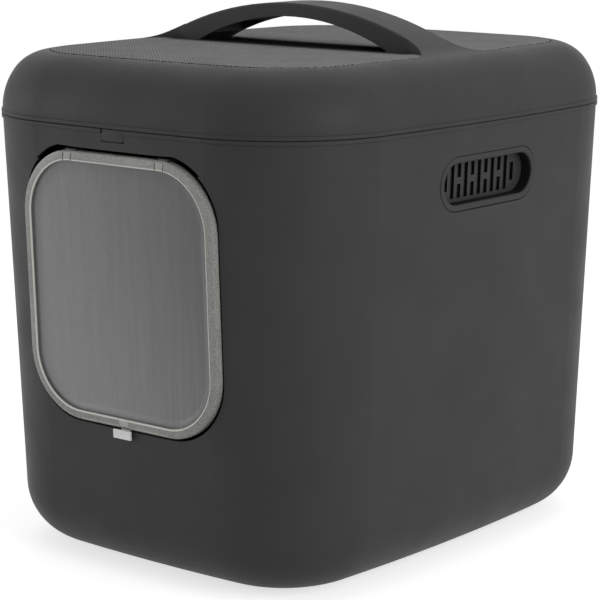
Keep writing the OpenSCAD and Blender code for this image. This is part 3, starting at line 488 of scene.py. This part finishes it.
# Cuts start this far behind the flap's face, or end this far before it.
BEHIND, BEFORE = -8, 1
# The ring's width and depth, the lip before the panel, the panel's seat, and where the roll starts.
RING_W, RING_T, RING_LIP, SEAT = 8.5, 7, 3.4, 4.2
RING_ROLL, RING_ROLL_DROP = 2.2, 3.05
# The panel's thickness, and its gap to the ring.
WINDOW_T, WINDOW_GAP = 2, 0.2
# The painted highlight on the rim lies between these distances in from the outline; painted shade lies
# further in.
RIM_NEAR, RIM_FAR = 6.98, 8.2
# The painted highlight on the outer roll reaches this far in, and only to the left of this place; to the
# right the roll gets a little painted shade.
ROLL_HIGHLIGHT, ROLL_TURN_X = 1.6, -60
# The notches in the panel, round each knuckle and round the lock's socket.
NOTCH_HALF, NOTCH_DROP, SOCKET_NOTCH_HALF, SOCKET_NOTCH_RISE = 9.5, 7.5, 5.6, 8
# The knuckles that the ring hangs by, their bore, and the room for a bracket's ears beside them.
KNUCKLE_X, KNUCKLE_Y, KNUCKLE_Z = 50, 108, -6.5
KNUCKLE_R, KNUCKLE_LENGTH, BORE_R = 3.5, 10, 1.56
EAR_NEAR, EAR_FAR, EAR_ROOM, EAR_FACE = 5.0, 8.8, 9.5, -3.2
# The slots in the face beside each knuckle, the lug between them, the lock's socket and its two lines.
SLOT_STARTS, SLOT_W, SLOT_DEPTH, LUG_HALF = (KNUCKLE_X - 4.8, KNUCKLE_X + 3.8), 1, 1.1, 3.9
SOCKET_HALF, SOCKET_RISE, SOCKET_BACK, SOCKET_FRONT = 5.2, 4.6, -5, -2
SOCKET_LINE_W, SOCKET_LINE_DEPTH = 0.2, 0.8
# Slots and lines run this far down or up from the outline.
MARK_RUN = 11
# The lock's gap to the flap, its knob, the neck through the wall and the tongue behind it.
LOCK_GAP, KNOB_HALF, KNOB_H, KNOB_BACK, KNOB_FACE, KNOB_EDGE = 0.4, 9.5, 7.2, 0.4, 2.6, 0.55
GROOVE_EDGE, GROOVE_SLOPE, GROOVE_DEPTH = 1.1, 0.5, 0.4
NECK_HALF, NECK_BACK, NECK_FRONT, NECK_DROP, NECK_INSET = 4.8, -5.6, 1, 5.1, 0.4
TONGUE_BACK, TONGUE_FRONT = -4.6, -2.4


def both_sides(low, high):
    """A box and its mirror image in X."""
    yield low, high
    yield (-high[0], low[1], low[2]), (-low[0], high[1], high[2])


def ring_depth(x, y):
    """How far a point of the flap lies in from its outline."""
    out_x, out_y = abs(x) - (FLAP_W / 2 - FLAP_R), abs(y) - (FLAP_H / 2 - FLAP_R)
    if out_x > 0 and out_y > 0:
        return FLAP_R - math.hypot(out_x, out_y)
    return FLAP_R - max(out_x, out_y)


def highlight_amount(at, way):
    """How bright a face is painted as a highlight: the rim, the left of the roll, and what lies over lock
    and knuckles.
    """
    depth = ring_depth(at.x, at.y)
    faces_out = way.z > 0.9
    if RIM_NEAR < depth < RIM_FAR and way.z > 0.2:
        return 1.0
    if depth < ROLL_HIGHLIGHT and at.z > -RING_ROLL_DROP:
        return 0.25 if at.x < ROLL_TURN_X else 0.0
    if at.y < 0 and abs(at.x) < SOCKET_HALF and faces_out:
        return 0.4
    if at.y > 0 and abs(abs(at.x) - KNUCKLE_X) < LUG_HALF and faces_out:
        return 0.15
    return 0.0


def shaded_wall(at, way):
    """How much painted shade a face gets: the inner wall, and a little of the roll except on the left."""
    depth = ring_depth(at.x, at.y)
    if depth > RIM_FAR and abs(way.z) < 0.8:
        return 0.6
    if depth < RING_ROLL and at.z > -RING_ROLL_DROP and at.x > ROLL_TURN_X:
        return 0.3 * (1 - way.z)
    return 0.0


def knuckle_bars(radius, length):
    """A bar about the middle of each knuckle."""
    return [bar(radius, length, (side * KNUCKLE_X, KNUCKLE_Y, KNUCKLE_Z), "X") for side in (-1, 1)]


def ring_cuts():
    """The corners of what is cut from the ring: room for ears, slots, the socket and its two lines."""
    for near, far in ((-EAR_FAR, -EAR_NEAR), (EAR_NEAR, EAR_FAR)):
        yield from both_sides((KNUCKLE_X + near, EDGE - EAR_ROOM, BEHIND), (KNUCKLE_X + far, PAST, EAR_FACE))
    for x in SLOT_STARTS:
        yield from both_sides((x, EDGE - MARK_RUN, -SLOT_DEPTH), (x + SLOT_W, PAST, BEFORE))
    for x in (-SOCKET_HALF, SOCKET_HALF - SOCKET_LINE_W):
        yield (x, -PAST, -SOCKET_LINE_DEPTH), (x + SOCKET_LINE_W, MARK_RUN - EDGE, BEFORE)
    yield (-SOCKET_HALF, -PAST, SOCKET_BACK), (SOCKET_HALF, SOCKET_RISE - EDGE, SOCKET_FRONT)


def flap_ring():
    """Ring with a face that slopes outwards, a painted highlight on its bevelled inner edge and a seat for
    the panel behind.
    """
    ring = rounded_slab("flap_ring", FLAP_W, FLAP_H, FLAP_R, -RING_T, -RING_ROLL_DROP)
    slope = [(0.4, 0.12), (4.4, 0.7)]
    rim = [(0.35, 0), (0.4, -0.1), (0.3, -0.35), (0.12, -0.4)]
    face = quarter(RING_ROLL, 6) + slope + rim
    face.append((RING_W - sum(width for width, _ in face), -0.2))
    steps_in(*face)
    rise(RING_ROLL_DROP - RING_LIP - sum(height for _, height in face))
    bpy.ops.mesh.delete(type="FACE")
    choose(lambda at, way: way.z < -0.9)
    steps_in((RING_W - SEAT, 0))
    rise(RING_T - RING_LIP)
    steps_in((SEAT, 0))
    bpy.ops.mesh.delete(type="FACE")
    close()
    combine(ring, knuckle_bars(KNUCKLE_R, KNUCKLE_LENGTH), "UNION")
    combine(ring, [block(low, high) for low, high in ring_cuts()])
    combine(ring, knuckle_bars(BORE_R, KNUCKLE_LENGTH + 2))
    # Painted highlight on the rim, the left of the roll and over lock and knuckles; painted shade on the
    # inner wall and the right of the roll.
    mark(ring, "painted_highlight", highlight_amount)
    mark(ring, "shaded", shaded_wall)
    hang(ring)
    hand_over(ring, "frame_plastic", "flap", "flap_frame", angle=22)


def flap_window():
    """Smoked panel: a seat all round behind the ring, then a soft dip to the middle."""
    inset = RING_W - SEAT + WINDOW_GAP
    window = rounded_slab("flap_window", FLAP_W - 2 * inset, FLAP_H - 2 * inset, FLAP_R - inset,
                          -RING_LIP - WINDOW_T, -RING_LIP)
    dish = [(1.6, -0.05), (1.3, -0.16), (1.2, -0.26), (1.2, -0.26), (1.3, -0.16), (1.6, -0.05)]
    crown = [(8, 0.04), (12, 0.04)]
    steps_in((SEAT, 0), *dish, *crown)
    close()
    cuts = [*both_sides((KNUCKLE_X - NOTCH_HALF, EDGE - NOTCH_DROP, BEHIND),
                        (KNUCKLE_X + NOTCH_HALF, PAST, 0)),
            ((-SOCKET_NOTCH_HALF, -PAST, BEHIND), (SOCKET_NOTCH_HALF, SOCKET_NOTCH_RISE - EDGE, 0))]
    combine(window, [block(low, high) for low, high in cuts])
    hang(window)
    hand_over(window, "smoked_panel", "flap", "flap_panel", angle=25)


def lock_tab():
    """Pale sliding tab: a knob with a thumb groove, a neck through the wall and a tongue."""
    top = -EDGE - LOCK_GAP
    knob = block((-KNOB_HALF, top - KNOB_H, KNOB_BACK), (KNOB_HALF, top, KNOB_FACE))
    only(knob)
    bpy.ops.object.mode_set(mode="EDIT")
    choose(lambda at, way: way.z > 0.9)
    steps_in((GROOVE_EDGE, 0), (GROOVE_SLOPE, -GROOVE_DEPTH))
    bpy.ops.object.mode_set(mode="OBJECT")
    soften(knob, KNOB_EDGE, 3)
    low = top - KNOB_H + NECK_INSET
    combine(knob, [block((-NECK_HALF, low, NECK_BACK), (NECK_HALF, -EDGE - NECK_DROP, NECK_FRONT)),
                   block((-NECK_HALF, low, TONGUE_BACK), (NECK_HALF, top, TONGUE_FRONT))], "UNION")
    knob.name = "lock_tab"
    hang(knob)
    hand_over(knob, "pale_plastic", "lock", "flap_lock")


# --- Lid --------------------------------------------------------------------

# The lower corners of the catch's tab lie further out than this and within this height, and are
# rounded by this much. Then its edges are eased, as the mat's are.
TAB_CORNER_X, TAB_CORNER_H, TAB_CORNER_R = 11, 0.4, 1.9
TAB_EDGE, MAT_EDGE = 0.7, 0.35


def whole_copy(node, name):
    """A copy of a node with its loose triangles joined into whole faces."""
    copy = bpy.data.objects.new(name, nodes[node].data.copy())
    bpy.context.collection.objects.link(copy)
    only(copy)
    bpy.ops.object.mode_set(mode="EDIT")
    bpy.ops.mesh.select_all(action="SELECT")
    bpy.ops.mesh.remove_doubles(threshold=0.005 * MM)
    bpy.ops.mesh.dissolve_limited(angle_limit=math.radians(0.5))
    bpy.ops.object.mode_set(mode="OBJECT")
    return copy


def woven_mat():
    """The mat, with its edges rounded."""
    mat = whole_copy("top_mat", "woven_mat")
    soften(mat, MAT_EDGE, 3)
    hand_over(mat, "mat_rubber", "hood", "top_mat")


def catch_tab():
    """The catch, with the tab's lower corners rounded and its edges eased."""
    tab = whole_copy("lid_catch", "catch_tab")
    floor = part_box("lid_catch")[0][2] + TAB_CORNER_H * MM
    bpy.ops.object.mode_set(mode="EDIT")
    bpy.ops.mesh.select_mode(type="EDGE")
    bpy.ops.mesh.select_all(action="DESELECT")
    shape = bmesh.from_edit_mesh(tab.data)
    for edge in shape.edges:
        first, last = (end.co for end in edge.verts)
        lowest = max(first.z, last.z) < floor
        runs_inwards = abs(first.x - last.x) < 0.1 * MM
        if lowest and runs_inwards and abs(first.x) > TAB_CORNER_X * MM:
            edge.select_set(True)
    bmesh.update_edit_mesh(tab.data)
    bpy.ops.mesh.bevel(offset=TAB_CORNER_R * MM, segments=6)
    bpy.ops.object.mode_set(mode="OBJECT")
    soften(tab, TAB_EDGE, 4)
    hand_over(tab, "charcoal_plastic", "catch", "lid_catch")


def catch_coil():
    """The catch's spring, smoothed and painted, on a mesh of its own."""
    coil = whole_copy("lid_catch_spring", "catch_coil")
    hand_over(coil, "spring_steel", "hood", "lid_catch_spring", angle=60)
    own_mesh(coil)


flap_ring()
flap_window()
lock_tab()
woven_mat()
catch_tab()
catch_coil()


# --- Feet of the handle -----------------------------------------------------
# Each foot of the strap sweeps forward over the mat's corner in one hollow curve. Its upper side
# follows the strap's arc, and then the arc of the blend into the lid's shoulder, just inside both.

STRAP_R, STRAP_MIDDLE, STRAP_HALF = 327, 128.5, 22
BLEND_R, BLEND_START = 60, 140
# The edge of the ground round the foot, and how far a sweep runs past it.
LAND_EDGE, LAND_OVERLAP = 154, 3.5
# The hollow's radius, how far a sweep lies inside the arcs and how deep it sits in the strap.
SWEEP_R, SWEEP_SINK, SWEEP_BITE, SWEEP_EDGE = 32, 0.05, 2, 1.4
# The heights of the blanks under the strap's arc and under the blend's.
BLANK_LOW, STRAP_TOP, BLEND_TOP = 417, 436, 430
# Long enough to pass right through a blank.
CUT_RUN = 80


def foot_sweep(name, side):
    """The fill before one foot: a blank under the two arcs, with a round cut for the hollow curve."""
    front, rear = -STRAP_HALF - SWEEP_R, SWEEP_BITE - STRAP_HALF

    def blank(near, far, top):
        ends = sorted((side * near, side * far))
        return block((ends[0], front, BLANK_LOW), (ends[1], rear, top))

    def arc(radius, x, z, sides):
        return bar(radius, CUT_RUN, (side * x, -CUT_RUN / 2, z), "Y", sides)

    reach = (STRAP_R + BLEND_R) / STRAP_R
    drop = math.sqrt(STRAP_R ** 2 - BLEND_START ** 2)
    sweep = blank(LAND_EDGE - SWEEP_R - 1, BLEND_START, STRAP_TOP)
    combine(sweep, [arc(STRAP_R - SWEEP_SINK, 0, STRAP_MIDDLE, 720)], "INTERSECT")
    outer = blank(BLEND_START, LAND_EDGE + LAND_OVERLAP, BLEND_TOP)
    combine(outer, [arc(BLEND_R + SWEEP_SINK, reach * BLEND_START, STRAP_MIDDLE + reach * drop, 180)])
    combine(sweep, [outer], "UNION")
    combine(sweep, [bar(SWEEP_R, CUT_RUN, (side * (LAND_EDGE - SWEEP_R), front, BLANK_LOW), "Z", 128)])
    soften(sweep, SWEEP_EDGE, 3)
    sweep.name = name
    hand_over(sweep, "charcoal_plastic", "hood")


foot_sweep("handle_sweep_left", -1)
foot_sweep("handle_sweep_right", 1)


# --- Studio -----------------------------------------------------------------

# The floor is matt to the object's light. The eye sees a shaded floor that glows nearly white.
FLOOR_DROP, FLOOR_MATT, FLOOR_SHADE, FLOOR_GLOW = 0.0005, 0.66, 0.75, 0.67
WORLD_LIGHT, WORLD_SEEN = 0.40, 1.0


def seen_by_eye(tree):
    """1 for camera rays, and for those that a mirror or a window passes on."""
    path = tree.nodes.new("ShaderNodeLightPath")
    total = path.outputs["Is Camera Ray"]
    for name in ("Is Glossy Ray", "Is Transmission Ray"):
        either = tree.nodes.new("ShaderNodeMath")
        either.operation = "MAXIMUM"
        tree.links.new(total, either.inputs[0])
        tree.links.new(path.outputs[name], either.inputs[1])
        total = either.outputs[0]
    return total


def studio_floor():
    """A white floor that keeps the object's shadow."""
    bpy.ops.mesh.primitive_plane_add(size=4, location=(0, 0, -FLOOR_DROP))
    floor = bpy.context.object
    floor.name = "studio_floor"
    material = bpy.data.materials.new("studio_floor")
    material.use_nodes = True
    tree = material.node_tree
    matt = tree.nodes["Principled BSDF"]
    matt.inputs["Base Color"].default_value = (*grey(FLOOR_MATT), 1)
    matt.inputs["Roughness"].default_value = 0.9
    shade, glow = tree.nodes.new("ShaderNodeBsdfDiffuse"), tree.nodes.new("ShaderNodeEmission")
    shade.inputs["Color"].default_value = (*grey(FLOOR_SHADE), 1)
    glow.inputs["Strength"].default_value = FLOOR_GLOW
    both, pick = tree.nodes.new("ShaderNodeAddShader"), tree.nodes.new("ShaderNodeMixShader")
    tree.links.new(shade.outputs[0], both.inputs[0])
    tree.links.new(glow.outputs[0], both.inputs[1])
    tree.links.new(seen_by_eye(tree), pick.inputs["Fac"])
    tree.links.new(matt.outputs[0], pick.inputs[1])
    tree.links.new(both.outputs[0], pick.inputs[2])
    tree.links.new(pick.outputs[0], tree.nodes["Material Output"].inputs["Surface"])
    floor.data.materials.append(material)


def backdrop():
    """A pale world: plain light for the object, plain white behind it."""
    world = bpy.data.worlds.new("studio_world")
    bpy.context.scene.world = world
    world.use_nodes = True
    tree = world.node_tree
    tree.nodes.clear()
    output = tree.nodes.new("ShaderNodeOutputWorld")
    seen, light = (tree.nodes.new("ShaderNodeBackground") for _ in range(2))
    light.inputs["Color"].default_value = (1, 1, 1, 1)
    light.inputs["Strength"].default_value = WORLD_LIGHT
    seen.inputs["Color"].default_value = (1, 1, 1, 1)
    seen.inputs["Strength"].default_value = WORLD_SEEN
    mix = tree.nodes.new("ShaderNodeMixShader")
    tree.links.new(seen_by_eye(tree), mix.inputs["Fac"])
    tree.links.new(light.outputs[0], mix.inputs[1])
    tree.links.new(seen.outputs[0], mix.inputs[2])
    tree.links.new(mix.outputs[0], output.inputs["Surface"])


def soft_light(name, place, target, width, height, power):
    """A rectangular lamp at a place, turned to its target."""
    lamp = bpy.data.lights.new(name, "AREA")
    lamp.shape = "RECTANGLE"
    lamp.size, lamp.size_y, lamp.energy = width, height, power
    holder = bpy.data.objects.new(name, lamp)
    bpy.context.collection.objects.link(holder)
    holder.location = place
    holder.rotation_euler = (Vector(target) - Vector(place)).to_track_quat("-Z", "Y").to_euler()


def camera():
    """A long lens that looks at the box from the front right, a little from above."""
    azimuth, elevation = math.radians(39.57), math.radians(11.18)
    distance, target = 1.9531, Vector((0, 0, 0.1968))
    away = Vector((math.sin(azimuth) * math.cos(elevation),
                   -math.cos(azimuth) * math.cos(elevation), math.sin(elevation)))
    lens = bpy.data.cameras.new("camera")
    lens.lens, lens.sensor_width, lens.shift_x = 134.3, 36.0, -0.0111
    lens.clip_start, lens.clip_end = 0.05, 30
    view = bpy.data.objects.new("camera", lens)
    bpy.context.collection.objects.link(view)
    view.location = target + away * distance
    view.rotation_euler = (-away).to_track_quat("-Z", "Y").to_euler()
    bpy.context.scene.camera = view


studio_floor()
backdrop()
soft_light("overhead", (-0.2, 0.3, 2.4), (0, 0, 0.3), 2.2, 2.2, 11)
soft_light("right_wall", (2.6, -0.2, 1.1), (0, 0, 0.2), 1.8, 1.8, 31)
soft_light("left_wall", (-2.2, -1.5, 0.6), (0, 0, 0.2), 1.4, 1.2, 12.5)
camera()
bpy.context.scene.view_settings.view_transform = "Standard"
